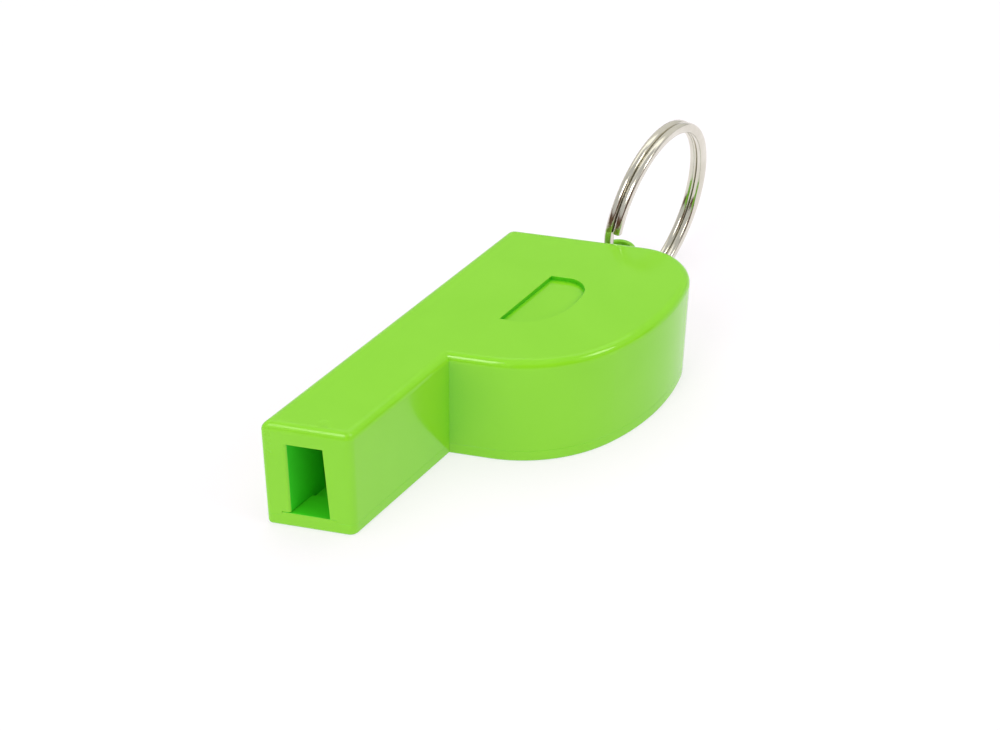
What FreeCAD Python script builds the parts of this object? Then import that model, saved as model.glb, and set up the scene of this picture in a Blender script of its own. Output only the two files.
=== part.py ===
"""Training whistle: a P-shaped pea whistle lying on its side, with a split ring in its eye.

Layout frame (used while drawing): the spine, the straight side of the P, lies along +Y from the
mouth; the bowl of the P bulges towards +X; z = 0 is the underside.
Row frame (used in the files): the same axes with the origin moved under the chamber's axis.
"""
import os
import FreeCAD
import Part
from FreeCAD import Placement, Rotation, Vector
from math import atan, atan2, copysign, cos, degrees, pi, radians, sin, tan

os.makedirs("parts", exist_ok=True)

# ---- driving dimensions (mm, degrees) -------------------------------------------------------
body_height = 15.0
slant = atan(0.4)               # mouth face, bowl front and rear wall all lean by this angle
mouthpiece_width = 10.1
inner_corner_y = 22.9           # where the bowl leaves the mouthpiece
bowl_front_run = 4.9            # straight stretch from that corner
bowl_bends = [(18.4, 50.0), (28.2, 34.8), (6.7, 95.2)]   # radius and turn, front to back
chamber_axis = Vector(13.3, 40.0, 0)

# edges of the moulding
top_round = 1.1
bottom_round = 0.5
rear_corner_round = 1.3
mouth_left_round = 0.55
mouth_right_round = 1.2
opening_round = 0.5             # on the left edge of the mouth's opening
bite = 1.0                      # how far a cutting block reaches past the face that it opens

# hollow inside
wall = 2.6
ceiling_z = 12.4
cover_thickness = 1.7
windway_left = 2.95
windway_right_top = 7.0
windway_right_bottom = 7.45
windway_straight = 7.0          # depth of the parallel part behind the mouth
slit_left = 2.2                 # the windway narrows to this slit
slit_right = 3.9
slit_y = 25.0
window_start = 22.6             # sound window in the spine wall
window_length = 6.5
window_low = 3.0
window_high = 11.8
lip_ramp_length = 7.0
lip_thickness = 0.35

# cover details
sill_left = 2.0
sill_right = 8.1
sill_depth = 4.0
sill_height = 0.45
sill_clearance = 0.02
sill_edge_round = 0.15
crevice_height = 0.12           # the shell stands off the sill left of the opening
rim_gap = 0.1
rim_width = 1.1
rim_height = 1.0
rim_break = 2.0                 # the rim stops this far from the slit
part_line = 0.018               # small bevel on both halves where they meet

# recess on top: the bowl outline again, smaller
recess_left = 10.65
recess_front = 28.4             # where its front line would cross the spine
recess_run = 1.45
recess_scale = 0.364
recess_depth = 0.6
recess_edge_round = 0.08
gate_mark = Vector(6.3, 4.1, body_height)   # a shallow dimple left by the mould's gate
gate_mark_radius = 0.8
gate_mark_depth = 0.07

# eye at the back: a U-shaped loop along +Y that closes against the rear wall
eye_x = 11.75
eye_far_y = 61.1
eye_radius = 2.2
eye_bar = 0.65                  # width of the loop's bar
eye_top = 11.9
eye_thickness = 2.4
eye_edge_round = 0.2

# split ring
ring_outer = 25.2
wire_width = 1.34               # the wire is rolled nearly flat-sided, wider across the ring's face
wire_thickness = 1.07
wire_squareness = 3.0           # 2 would be an oval, larger is nearer to a rectangle
coil_gap = 0.02
ring_centre_x = 11.4
ring_centre_y = 68.68
ring_lean = 3.2                 # the top of the ring leans towards the bowl side
ring_yaw = 1.5
ring_end_rise = 13.0            # the upper cut end is this far round above the eye
jog_angle = 32.0                # stretch in which the wire crosses from coil to coil
jog_steps = 8
section_steps = 24

# pea
pea_radius = 4.4
pea_orbit = 5.4
pea_angle = 35.0
pea_lift = 0.15


# ---- drawing helpers ------------------------------------------------------------------------
class Pen:
    """Draws a plan outline from straight runs and tangent bends to the left."""

    def __init__(self, x, y, heading):
        self.at = Vector(x, y, 0)
        self.heading = heading
        self.edges = []

    def line_to(self, x, y):
        target = Vector(x, y, 0)
        self.edges.append(Part.LineSegment(self.at, target).toShape())
        self.at = target

    def run(self, length):
        step = Vector(cos(self.heading), sin(self.heading), 0) * length
        self.line_to(self.at.x + step.x, self.at.y + step.y)

    def run_to_x(self, x):
        self.run((x - self.at.x) / cos(self.heading))

    def bend(self, radius, turn):
        centre = self.at + Vector(-sin(self.heading), cos(self.heading), 0) * radius
        points = [self.at]
        for part in (0.5, 1.0):
            angle = self.heading + radians(turn) * part
            points.append(centre + Vector(sin(angle), -cos(angle), 0) * radius)
        self.edges.append(Part.Arc(*points).toShape())
        self.at = points[-1]
        self.heading += radians(turn)

    def face(self):
        return Part.Face(Part.Wire(Part.__sortEdges__(self.edges)))


def slanted_y(y_at_spine, x):
    """Height on a slanted line that crosses the spine at y_at_spine."""
    return y_at_spine + x * tan(slant)


def bowl_bend_all(pen, scale=1.0, inset=0.0):
    for radius, turn in bowl_bends:
        pen.bend(radius * scale - inset, turn)


def prism(face, low, high):
    solid = face.extrude(Vector(0, 0, high - low))
    solid.translate(Vector(0, 0, low))
    return solid


def box(x0, x1, y0, y1, z0, z1):
    return Part.makeBox(x1 - x0, y1 - y0, z1 - z0, Vector(x0, y0, z0))


def edges_where(shape, test):
    return [edge for edge in shape.Edges if test(edge)]


def edges_upright_at(shape, x, y):
    """The straight edges that stand on the plan point x, y."""
    line = Part.makeLine(Vector(x, y, -body_height), Vector(x, y, 2 * body_height))
    return edges_where(shape, lambda edge: all(
        line.distToShape(vertex)[0] < 1e-3 for vertex in edge.Vertexes))


def lies_at(edge, z):
    return abs(edge.BoundBox.ZMin - z) < 1e-4 and abs(edge.BoundBox.ZMax - z) < 1e-4


# ---- the moulding's outside -----------------------------------------------------------------
bowl_front_y = inner_corner_y - mouthpiece_width * tan(slant)


def body_outline():
    pen = Pen(0, 0, slant)
    pen.run_to_x(mouthpiece_width)
    pen.line_to(mouthpiece_width, inner_corner_y)
    pen.run(bowl_front_run)
    bowl_bend_all(pen)
    pen.run_to_x(0)
    rear_y = pen.at.y
    pen.line_to(0, 0)
    return pen.face(), rear_y


outline_face, rear_wall_y = body_outline()


def round_outside(block):
    corners = [((0, rear_wall_y), rear_corner_round),
               ((0, 0), mouth_left_round),
               ((mouthpiece_width, slanted_y(0, mouthpiece_width)), mouth_right_round)]
    for (x, y), radius in corners:
        block = block.makeFillet(radius, edges_upright_at(block, x, y))
    top = edges_where(block, lambda edge: lies_at(edge, body_height))
    block = block.makeFillet(top_round, top)
    base = edges_where(block, lambda edge: lies_at(edge, 0))
    return block.makeFillet(bottom_round, base)


envelope = round_outside(prism(outline_face, 0, body_height))


# ---- hollows --------------------------------------------------------------------------------
def chamber_face(inset):
    """The bowl's outline moved inwards, closed by the spine wall."""
    front_y = bowl_front_y + inset / cos(slant)
    bend_start = Pen(mouthpiece_width, inner_corner_y, slant)
    bend_start.run(bowl_front_run)
    bend_x = bend_start.at.x - inset * sin(slant)
    pen = Pen(inset, slanted_y(front_y, inset), slant)
    pen.run_to_x(bend_x)
    bowl_bend_all(pen, inset=inset)
    pen.run_to_x(inset)
    pen.line_to(inset, slanted_y(front_y, inset))
    return pen.face()


def windway():
    """A tapering duct with moulding draft on its right side."""
    def section(z, right_x, exit_x):
        points = [(windway_left, -bite), (right_x, -bite), (right_x, windway_straight),
                  (exit_x, slit_y), (slit_left, slit_y), (windway_left, windway_straight),
                  (windway_left, -bite)]
        return Part.makePolygon([Vector(x, y, z) for x, y in points])
    draft = windway_right_bottom - windway_right_top
    low = section(cover_thickness, windway_right_bottom, slit_right + draft)
    high = section(ceiling_z, windway_right_top, slit_right)
    return Part.makeLoft([low, high], True, True)


def sound_window():
    """The slot in the spine wall, with the ramp that makes the lip's edge."""
    start = window_start
    end = window_start + window_length
    slot = box(-bite, wall + bite, start, end, window_low, window_high)
    lip_x = wall - lip_thickness
    ramp_points = [(-bite, start), (lip_x, start), (lip_x, end), (0, end + lip_ramp_length),
                   (-bite, end + lip_ramp_length), (-bite, start)]
    ramp = Part.Face(Part.makePolygon([Vector(x, y, 0) for x, y in ramp_points]))
    return slot.fuse(prism(ramp, window_low, window_high))


def recess():
    pen = Pen(recess_left, slanted_y(recess_front, recess_left), slant)
    pen.run(recess_run)
    bowl_bend_all(pen, scale=recess_scale)
    pen.run_to_x(recess_left)
    pen.line_to(recess_left, slanted_y(recess_front, recess_left))
    return prism(pen.face(), body_height - recess_depth, body_height + bite)


# ---- the eye at the back --------------------------------------------------------------------
def u_plate(radius, near_y):
    """A plate along +Y with a round far end, as thick as the eye."""
    centre_y = eye_far_y - eye_radius
    bar = box(eye_x - radius, eye_x + radius, near_y, centre_y, 0, eye_thickness)
    return bar.fuse(Part.makeCylinder(radius, eye_thickness, Vector(eye_x, centre_y, 0)))


def eye_loop():
    """The loop; its feet run into the rear wall, and the chamber is cut after they are joined."""
    foot_y = slanted_y(rear_wall_y, eye_x - eye_radius) - wall
    loop = u_plate(eye_radius, foot_y).cut(u_plate(eye_radius - eye_bar, foot_y - bite))
    loop = loop.removeSplitter()
    rims = edges_where(loop, lambda edge: (lies_at(edge, 0) or lies_at(edge, eye_thickness))
                       and edge.BoundBox.YMax > foot_y + bite)
    loop = loop.makeFillet(eye_edge_round, rims)
    loop.translate(Vector(0, 0, eye_top - eye_thickness))
    return loop


# ---- pieces ---------------------------------------------------------------------------------
def layer(low, high):
    """The envelope between two heights, bevelled round the part line."""
    plan = envelope.BoundBox
    slab = box(plan.XMin - bite, plan.XMax + bite, plan.YMin - bite, plan.YMax + bite, low, high)
    block = envelope.common(slab)
    part_edges = edges_where(block, lambda edge: lies_at(edge, cover_thickness))
    return block.makeChamfer(part_line, part_edges)


def cut_recess(block):
    """Sinks the recess into the top and breaks the edge round it."""
    pocket = recess()
    block = block.cut(pocket)
    reach = pocket.BoundBox
    reach.enlarge(part_line)
    rim = edges_where(block, lambda edge: lies_at(edge, body_height) and reach.isInside(edge.BoundBox))
    return block.makeFillet(recess_edge_round, rim)


def gate_dimple():
    """The ball whose lowest part sinks the dimple."""
    ball_radius = (gate_mark_radius ** 2 + gate_mark_depth ** 2) / (2 * gate_mark_depth)
    return Part.makeSphere(ball_radius, gate_mark + Vector(0, 0, ball_radius - gate_mark_depth))


def sill_block(grow):
    """A block behind the mouth face, its back parallel to that face."""
    left = sill_left - grow
    right = sill_right + grow
    back = sill_depth + grow / cos(slant)
    points = [(left, -bite), (right, -bite), (right, slanted_y(back, right)),
              (left, slanted_y(back, left)), (left, -bite)]
    plan = Part.Face(Part.makePolygon([Vector(x, y, 0) for x, y in points]))
    return prism(plan, 0, cover_thickness + sill_height + grow)


def crevice():
    """The narrow gap over the sill's left end."""
    sill_top = cover_thickness + sill_height
    return box(sill_left, windway_left + opening_round, -bite, sill_depth, sill_top, sill_top + crevice_height)


def body_shell():
    shell = cut_recess(layer(cover_thickness, body_height + bite))
    shell = shell.cut(gate_dimple())
    shell = shell.fuse(eye_loop())
    shell = shell.cut(prism(chamber_face(wall), 0, ceiling_z))
    shell = shell.cut(windway())
    opening_edge = edges_upright_at(shell, windway_left, slanted_y(0, windway_left))
    shell = shell.makeFillet(opening_round, opening_edge)
    shell = shell.cut(sound_window())
    return shell.cut(sill_block(sill_clearance)).cut(crevice())


def sill():
    """The raised strip of the cover that the mouth's opening ends on."""
    block = envelope.common(sill_block(0)).common(prism(outline_face, cover_thickness / 2, body_height))
    long_edges = edges_where(block, lambda edge: lies_at(edge, cover_thickness + sill_height)
                             and edge.BoundBox.XLength > (sill_right - sill_left) / 2)
    front = min(long_edges, key=lambda edge: edge.BoundBox.YMin)
    return block.makeFillet(sill_edge_round, [front])


def bottom_cover():
    cover = layer(-bite, cover_thickness)
    rim_inset = wall + rim_gap
    rim = chamber_face(rim_inset).cut(chamber_face(rim_inset + rim_width))
    rim = prism(rim, cover_thickness / 2, cover_thickness + rim_height)
    passage = box(0, slit_right + rim_break, 0, slit_y + rim_break, cover_thickness, body_height)
    return cover.fuse(sill()).fuse(rim.cut(passage)).removeSplitter()


def wire_section(middle, across, along):
    """The wire's cross section, a smooth curve between an oval and a rectangle."""
    def swell(share):
        return copysign(abs(share) ** (2 / wire_squareness), share)

    turns = [2 * pi * step / section_steps for step in range(section_steps)]
    curve = Part.BSplineCurve()
    curve.interpolate(Points=[middle + across * swell(cos(turn)) + along * swell(sin(turn))
                              for turn in turns], PeriodicFlag=True)
    return Part.Wire(curve.toShape())


def split_ring():
    """Two flat coils of rolled wire, joined by a jog, with two cut ends."""
    coil_radius = (ring_outer - wire_width) / 2
    half = (wire_thickness + coil_gap) / 2

    def coil_point(angle, side):
        return Vector(coil_radius * cos(angle), coil_radius * sin(angle), side)

    start = radians(jog_angle)
    stop = 2 * pi
    first = Part.Arc(*[coil_point(start * (1 - t) + stop * t, -half) for t in (0, 0.5, 1)]).toShape()
    jog_points = []
    for step in range(jog_steps + 1):
        share = step / jog_steps
        side = -half * cos(pi * share)
        jog_points.append(coil_point(start * share, side))
    jog = Part.BSplineCurve()
    jog.interpolate(Points=jog_points, InitialTangent=Vector(0, 1, 0),
                    FinalTangent=Vector(-sin(start), cos(start), 0))
    second = Part.Arc(*[coil_point(start * (1 - t) + stop * t, half) for t in (0, 0.5, 1)]).toShape()
    path = Part.Wire([first, jog.toShape(), second])
    middle = coil_point(start, -half)
    across = Vector(cos(start), sin(start), 0) * (wire_width / 2)
    along = Vector(0, 0, wire_thickness / 2)
    return path.makePipeShell([wire_section(middle, across, along)], True, False)


def ring_placement():
    """Stands the ring on its edge, its coils side by side along X, leaning a little."""
    lean = radians(ring_lean)
    yaw = radians(ring_yaw)
    rise = radians(ring_end_rise)
    facing = Vector(cos(yaw) * cos(lean), sin(yaw) * cos(lean), -sin(lean))
    stand = Rotation(Vector(0, 0, 1), facing)
    cut_end = stand.inverted().multVec(Vector(0, -cos(rise), sin(rise)))
    turn = Rotation(Vector(0, 0, 1), degrees(atan2(cut_end.y, cut_end.x)))
    return Placement(Vector(ring_centre_x, ring_centre_y, 0), stand.multiply(turn))


def placed_ring():
    ring = split_ring()
    ring.Placement = ring_placement()
    ring.translate(Vector(0, 0, -ring.optimalBoundingBox(False).ZMin))
    return ring


def pea():
    angle = radians(pea_angle)
    centre = chamber_axis + Vector(pea_orbit * cos(angle), pea_orbit * sin(angle), 0)
    centre.z = cover_thickness + pea_radius + pea_lift
    return Part.makeSphere(pea_radius, centre)


def write(name, shape):
    solid = shape.Solids[0]
    solid.translate(-chamber_axis)
    print(name, "solids", len(shape.Solids), "valid", solid.isValid(), "volume", round(solid.Volume, 2),
          "box", solid.optimalBoundingBox(False))
    solid.exportStep("parts/" + name + ".step")


write("body_shell", body_shell())
write("bottom_cover", bottom_cover())
write("split_ring", placed_ring())
write("pea", pea())
near_wire = Vector(ring_centre_x, ring_centre_y - (ring_outer - wire_width) / 2, 0)
print("swing axis in the row frame", near_wire - chamber_axis)
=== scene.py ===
"""Looks for the training whistle: a lime moulded pea whistle with a nickel split ring."""
from math import cos, radians, sin, tan

import bpy
from mathutils import Matrix, Vector


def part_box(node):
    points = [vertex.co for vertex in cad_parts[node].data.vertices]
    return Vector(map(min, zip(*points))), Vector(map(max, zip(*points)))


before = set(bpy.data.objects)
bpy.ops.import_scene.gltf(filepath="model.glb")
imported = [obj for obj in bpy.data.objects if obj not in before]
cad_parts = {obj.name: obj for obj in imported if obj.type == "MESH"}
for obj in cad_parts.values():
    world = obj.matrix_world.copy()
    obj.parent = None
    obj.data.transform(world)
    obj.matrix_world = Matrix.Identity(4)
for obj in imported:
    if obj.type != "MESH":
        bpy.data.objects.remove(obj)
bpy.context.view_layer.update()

# ---- driving values (metres, degrees) -------------------------------------------------------
camera_azimuth = 34.19          # 0 looks along +Y, with +X to the right
camera_elevation = 36.33
camera_roll = 0.655
camera_place = Vector((0.10198, -0.16113, 0.14475))
camera_lens = 67.07             # mm, on the usual 36 mm wide film
camera_near = 0.01              # it sees nothing nearer than this

floor_size = 6.0
floor_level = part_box("bottom_cover")[0].z
floor_colour = (0.34, 0.325, 0.36, 1.0)
floor_roughness = 0.9
floor_specular = 0.1
floor_light = (1.0, 0.99, 1.0, 1.0)
floor_glow = 0.64
world_strength = 0.62
card_glow = 0.78                # of the white card behind the whistle
sky_glow = 1.5                  # of the brighter card above it
card_light = (1.0, 0.98, 0.93, 1.0)
card_brown = (0.105, 0.048, 0.028, 1.0)
card_distance = 0.5
wall_distance = 1.5             # of the pale wall all round, behind everything
wall_height = 2.0
wall_glow = 0.93
sheet_steps = 24                # flat strips in each card and in the wall

black = (0.0, 0.0, 0.0, 1.0)
white = (1.0, 1.0, 1.0, 1.0)
lime = (0.222, 0.610, 0.018, 1.0)
lime_flow = (0.210, 0.592, 0.014, 1.0)
# painted shade: the deeper green put where the shell's own walls close in
lime_painted_shade = (0.020, 0.500, 0.001, 1.0)
# painted shade: the deeper green on all the windway's walls
lime_windway_shade = (0.022, 0.570, 0.001, 1.0)
# painted shade: the deeper green on the cover's upward faces, the floors of the windway and
# chamber
lime_floor_shade = (0.045, 0.640, 0.003, 1.0)
shade_reach = 0.015            # how far a wall has to be from its neighbours to escape the painted shade
shade_limits = (0.30, 0.80)      # shares of open space at which the painted shade is full and at which it is gone
eye_start = 0.0152              # the eye for the ring lies past this Y, and gets no painted shade
plastic_polish = (0.08, 0.14)   # roughness, from the shiniest spots to the dullest
plastic_ior = 1.47
lip_wear = (-0.040, -0.026)     # the plastic gets duller along Y towards the mouth
lip_roughness = 0.16            # added to the polish at the lips
peel_height = 0.000006          # the moulded skin's faint orange peel, and its finer grain
grain_height = 0.0000012
windway_low = (-0.01037, -0.045, 0.0016)        # corners of a box that holds the windway
windway_high = (-0.0058, -0.015, 0.01243)
mouth_normal = -0.5             # a face whose normal has less Y than this looks out of the mouth
upward = (0.6, 0.95)            # a face counts as upward more and more between these normal Zs
inner_roughness = 0.45          # added to the polish of inner faces
nickel = (0.75, 0.73, 0.65, 1.0)
nickel_dull = (0.65, 0.63, 0.54, 1.0)
nickel_polish = (0.12, 0.20)
dent_height = 0.00001
cork = (0.50, 0.30, 0.14, 1.0)
cork_dark = (0.20, 0.10, 0.045, 1.0)
cork_roughness = 0.75
pit_depth = 0.00012             # between the crumbs of the cork
warm = (1.0, 0.94, 0.84)        # colour of the lights


# ---- node helpers ---------------------------------------------------------------------------
class Nodes:
    """A small builder for one material's node tree."""

    def __init__(self, name):
        self.material = bpy.data.materials.new(name)
        self.material.use_nodes = True
        self.tree = self.material.node_tree
        self.shader = self.tree.nodes["Principled BSDF"]
        coordinates = self.add("ShaderNodeTexCoord")
        self.place = coordinates.outputs["Object"]
        self.normal = coordinates.outputs["Normal"]

    def add(self, kind, **settings):
        node = self.tree.nodes.new(kind)
        for key, value in settings.items():
            setattr(node, key, value)
        return node

    def join(self, source, target):
        self.tree.links.new(source, target)

    def noise(self, scale, detail, roughness=0.5, distortion=0.0):
        """Noise that is fixed to the object, with its scale in blots a metre."""
        node = self.add("ShaderNodeTexNoise")
        node.inputs["Scale"].default_value = scale
        node.inputs["Detail"].default_value = detail
        node.inputs["Roughness"].default_value = roughness
        node.inputs["Distortion"].default_value = distortion
        self.join(self.place, node.inputs["Vector"])
        return node.outputs["Fac"]

    def ramp(self, source, *stops):
        """Turns a value into a colour between two stops, each a place and its colour."""
        node = self.add("ShaderNodeValToRGB")
        for element, (place, colour) in zip(node.color_ramp.elements, stops):
            element.position = place
            element.color = colour
        self.join(source, node.inputs["Fac"])
        return node.outputs["Color"]

    def mix(self, share, first, second):
        """Blends two colours, each a plain colour or a socket."""
        node = self.add("ShaderNodeMix", data_type="RGBA")
        self.join(share, node.inputs["Factor"])
        for name, value in (("A", first), ("B", second)):
            socket = [s for s in node.inputs if s.name == name and s.type == "RGBA"][0]
            if isinstance(value, bpy.types.NodeSocket):
                self.join(value, socket)
            else:
                socket.default_value = value
        return [s for s in node.outputs if s.type == "RGBA"][0]

    def spread(self, source, low, high, limits=(0.0, 1.0)):
        """Maps the range between limits to low..high."""
        node = self.add("ShaderNodeMapRange")
        node.inputs["From Min"].default_value = limits[0]
        node.inputs["From Max"].default_value = limits[1]
        node.inputs["To Min"].default_value = low
        node.inputs["To Max"].default_value = high
        self.join(source, node.inputs["Value"])
        return node.outputs["Result"]

    def maths(self, operation, first, second):
        """One sum on two inputs, the second of which may be a plain number."""
        node = self.add("ShaderNodeMath", operation=operation)
        self.join(first, node.inputs[0])
        if isinstance(second, bpy.types.NodeSocket):
            self.join(second, node.inputs[1])
        else:
            node.inputs[1].default_value = second
        return node.outputs["Value"]

    def axes(self, source):
        """The X, Y and Z of a vector."""
        node = self.add("ShaderNodeSeparateXYZ")
        self.join(source, node.inputs["Vector"])
        return node.outputs

    def within(self, low, high):
        """1 inside the box between two corners and 0 outside it."""
        inside = None
        place = self.axes(self.place)
        for axis, start, stop in zip("XYZ", low, high):
            for operation, limit in (("GREATER_THAN", start), ("LESS_THAN", stop)):
                test = self.maths(operation, place[axis], limit)
                inside = test if inside is None else self.maths("MULTIPLY", inside, test)
        return inside

    def bump(self, source, distance, below=None):
        """A relief of this height in metres, on top of another one if it is given."""
        node = self.add("ShaderNodeBump")
        node.inputs["Distance"].default_value = distance
        node.inputs["Strength"].default_value = 1.0
        self.join(source, node.inputs["Height"])
        if below is not None:
            self.join(below, node.inputs["Normal"])
        return node.outputs["Normal"]


# ---- materials ------------------------------------------------------------------------------
def lime_plastic(name, inner):
    """Glossy moulded plastic with faint flow and a trace of orange peel, and a matt finish inside.

    `inner` makes the socket that is 1 on inner faces; the open green and that socket are returned.
    """
    n = Nodes(name)
    inside = inner(n)
    flow = n.noise(90, detail=3, distortion=0.6)
    open_green = n.ramp(flow, (0.3, lime_flow), (0.7, lime))
    haze = n.noise(700, detail=6, roughness=0.6)
    polish = n.spread(haze, *plastic_polish)
    wear = n.spread(n.axes(n.place)["Y"], lip_roughness, 0.0, lip_wear)
    worn = n.maths("ADD", polish, wear)
    matt = n.maths("MULTIPLY", inside, inner_roughness)
    n.join(n.maths("ADD", worn, matt), n.shader.inputs["Roughness"])
    peel = n.bump(n.noise(260, detail=2), peel_height)
    grain = n.bump(n.noise(2600, detail=3), grain_height, below=peel)
    n.join(grain, n.shader.inputs["Normal"])
    n.shader.inputs["IOR"].default_value = plastic_ior
    return n, open_green, inside


def windway_faces(n):
    """1 on the windway's walls; the mouth face, which looks along -Y, is left out."""
    sideways = n.maths("GREATER_THAN", n.axes(n.normal)["Y"], mouth_normal)
    return n.maths("MULTIPLY", n.within(windway_low, windway_high), sideways)


def upward_faces(n):
    """1 on the cover's upward faces, which are the floor of the windway and of the chamber and get
    painted shade.
    """
    return n.spread(n.axes(n.normal)["Z"], 0.0, 1.0, upward)


def shell_plastic():
    """The lime plastic, with painted shade: a deeper green where its own walls close in and all
    through the windway.
    """
    n, green, inside = lime_plastic("lime_shell", windway_faces)
    # painted shade: ambient occlusion from the shell's own walls picks where the green deepens,
    # except on the eye
    cavity = n.add("ShaderNodeAmbientOcclusion", samples=8, only_local=True)
    cavity.inputs["Distance"].default_value = shade_reach
    closed, clear = shade_limits
    openness = n.ramp(cavity.outputs["AO"], (closed, black), (clear, white))
    eye = n.maths("GREATER_THAN", n.axes(n.place)["Y"], eye_start)
    green = n.mix(n.maths("MAXIMUM", openness, eye), lime_painted_shade, green)
    # painted shade: the windway's walls all take the deeper green
    green = n.mix(inside, green, lime_windway_shade)
    n.join(green, n.shader.inputs["Base Color"])
    return n.material


def cover_plastic():
    """The lime plastic, with painted shade: a deeper green on the cover's inner faces."""
    n, green, inside = lime_plastic("lime_cover", upward_faces)
    # painted shade: the cover's upward faces take the deeper green
    n.join(n.mix(inside, green, lime_floor_shade), n.shader.inputs["Base Color"])
    return n.material


def nickel_wire():
    """Nickel-plated wire of slightly uneven tone and polish, with faint dents."""
    n = Nodes("nickel_wire")
    tone = n.noise(160, detail=5, roughness=0.6)
    n.join(n.ramp(tone, (0.35, nickel_dull), (0.65, nickel)), n.shader.inputs["Base Color"])
    polish = n.noise(1500, detail=5)
    n.join(n.spread(polish, *nickel_polish), n.shader.inputs["Roughness"])
    dents = n.bump(n.noise(420, detail=3), dent_height)
    n.join(dents, n.shader.inputs["Normal"])
    n.shader.inputs["Metallic"].default_value = 1.0
    return n.material


def pea_cork():
    """Pressed cork: crumbs of two browns with dark pits between them."""
    n = Nodes("pea_cork")
    crumbs = n.add("ShaderNodeTexVoronoi")
    crumbs.inputs["Scale"].default_value = 900
    n.join(n.place, crumbs.inputs["Vector"])
    browns = n.ramp(crumbs.outputs["Distance"], (0.25, cork), (0.75, cork_dark))
    n.join(browns, n.shader.inputs["Base Color"])
    n.join(n.bump(crumbs.outputs["Distance"], -pit_depth), n.shader.inputs["Normal"])
    n.shader.inputs["Roughness"].default_value = cork_roughness
    return n.material


def stage_material(name, colour, roughness=1.0, specular=0.0, light=white, glow=0.0):
    """A dull colour for the floor, a card or the wall, with a glow of its own."""
    n = Nodes(name)
    n.shader.inputs["Base Color"].default_value = colour
    n.shader.inputs["Roughness"].default_value = roughness
    n.shader.inputs["Specular IOR Level"].default_value = specular
    n.shader.inputs["Emission Color"].default_value = light
    n.shader.inputs["Emission Strength"].default_value = glow
    return n.material


def dress(node, material):
    """Gives a CAD node one material on all its slots."""
    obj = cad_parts[node]
    obj.data.materials.clear()
    obj.data.materials.append(material)


# ---- floor, light and camera ----------------------------------------------------------------
def make_floor():
    """A pale table, lit a little from below so that shadows on it stay light."""
    half = floor_size / 2
    mesh = bpy.data.meshes.new("floor")
    corners = [(-half, -half, floor_level), (half, -half, floor_level),
               (half, half, floor_level), (-half, half, floor_level)]
    mesh.from_pydata(corners, [], [(0, 1, 2, 3)])
    mesh.materials.append(stage_material("floor_white", floor_colour, floor_roughness,
                                         floor_specular, floor_light, floor_glow))
    floor = bpy.data.objects.new("floor", mesh)
    bpy.context.scene.collection.objects.link(floor)


def make_world():
    """An even white sky."""
    world = bpy.data.worlds.new("studio")
    world.use_nodes = True
    background = world.node_tree.nodes["Background"]
    background.inputs["Color"].default_value = white
    background.inputs["Strength"].default_value = world_strength
    bpy.context.scene.world = world


def towards(azimuth, elevation):
    """A direction from the object; azimuth 0 is +X and 90 is +Y."""
    level = cos(radians(elevation))
    turn = radians(azimuth)
    return Vector((cos(turn) * level, sin(turn) * level, sin(radians(elevation))))


def soft_box(name, azimuth, elevation, distance, size, power, shine=True):
    """A rectangular light; without shine it is not seen in reflections."""
    light = bpy.data.lights.new(name, "AREA")
    light.color = warm
    light.shape = "RECTANGLE"
    light.size = size[0]
    light.size_y = size[1]
    light.energy = power
    lamp = bpy.data.objects.new(name, light)
    direction = towards(azimuth, elevation)
    lamp.location = direction * distance
    lamp.rotation_euler = direction.to_track_quat("Z", "Y").to_euler()
    lamp.visible_glossy = shine
    bpy.context.scene.collection.objects.link(lamp)


def sheet(name, material, distance, turns, heights, seen_by):
    """A curved sheet round the object that one kind of ray sees; turns in degrees."""
    corners = []
    start, stop = turns
    for step in range(sheet_steps + 1):
        turn = radians(start + (stop - start) * step / sheet_steps)
        for height in heights:
            corners.append((distance * cos(turn), distance * sin(turn), height))
    faces = [(2 * step, 2 * step + 2, 2 * step + 3, 2 * step + 1) for step in range(sheet_steps)]
    mesh = bpy.data.meshes.new(name)
    mesh.from_pydata(corners, [], faces)
    mesh.materials.append(material)
    piece = bpy.data.objects.new(name, mesh)
    piece.visible_camera = seen_by == "camera"
    piece.visible_glossy = seen_by == "reflections"
    piece.visible_diffuse = False
    piece.visible_shadow = False
    bpy.context.scene.collection.objects.link(piece)


def card(name, material, start, stop, low, high):
    """A card that only reflections see; low and high are angles above the floor."""
    heights = [card_distance * tan(radians(tilt)) for tilt in (low, high)]
    sheet(name, material, card_distance, (start, stop), heights, "reflections")


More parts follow.
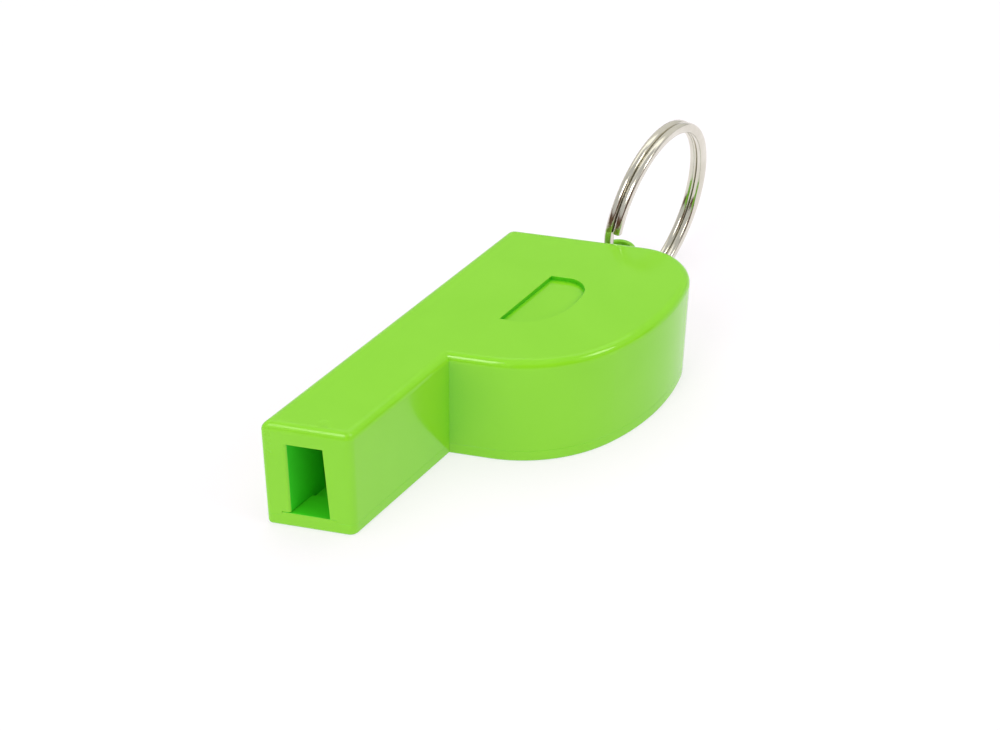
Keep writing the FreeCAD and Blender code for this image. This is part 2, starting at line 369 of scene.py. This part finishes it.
def wall():
    """A pale wall all round, so that a low view has no dark sky behind the object."""
    pale = stage_material("wall_white", black, glow=wall_glow)
    sheet("wall", pale, wall_distance, (0, 360), (floor_level, wall_height), "camera")


def camera_axes():
    """The camera's right, up and back directions."""
    azimuth = radians(camera_azimuth)
    elevation = radians(camera_elevation)
    back = Vector((sin(azimuth) * cos(elevation), -cos(azimuth) * cos(elevation), sin(elevation)))
    level_right = Vector((cos(azimuth), sin(azimuth), 0))
    level_up = back.cross(level_right)
    roll = radians(camera_roll)
    right = level_right * cos(roll) + level_up * sin(roll)
    return right, back.cross(right), back


def make_camera():
    """The camera of the main view."""
    data = bpy.data.cameras.new("camera")
    data.lens = camera_lens
    data.clip_start = camera_near
    camera = bpy.data.objects.new("camera", data)
    right, up, back = camera_axes()
    turn = Matrix((right, up, back)).transposed().to_4x4()
    camera.matrix_world = Matrix.Translation(camera_place) @ turn
    bpy.context.scene.collection.objects.link(camera)
    bpy.context.scene.camera = camera


# ---- the whole scene ------------------------------------------------------------------------
dress("body_shell", shell_plastic())
dress("bottom_cover", cover_plastic())
dress("split_ring", nickel_wire())
dress("pea", pea_cork())

make_floor()
make_world()
soft_box("front_light", azimuth=-87, elevation=48, distance=0.55, size=(0.14, 0.20), power=0.6)
soft_box("right_light", azimuth=13, elevation=44, distance=0.55, size=(0.14, 0.18), power=0.5)
soft_box("top_light", azimuth=110, elevation=78, distance=0.50, size=(0.50, 0.50), power=0.95,
         shine=False)
soft_box("front_fill", azimuth=-112, elevation=14, distance=0.60, size=(0.60, 0.30), power=0.95,
         shine=False)
soft_box("side_fill", azimuth=-10, elevation=12, distance=0.60, size=(0.60, 0.30), power=0.45,
         shine=False)

brown = stage_material("card_brown", card_brown)
back_white = stage_material("card_white", black, light=card_light, glow=card_glow)
sky_white = stage_material("card_sky", black, light=card_light, glow=sky_glow)
card("low_card", brown, start=-150, stop=40, low=-3, high=15)
card("right_card", brown, start=-62, stop=-15, low=15, high=42)
card("back_card", back_white, start=50, stop=200, low=8, high=52)
card("sky_card", sky_white, start=50, stop=200, low=52, high=72)
wall()
make_camera()
bpy.context.scene.view_settings.view_transform = "Standard"
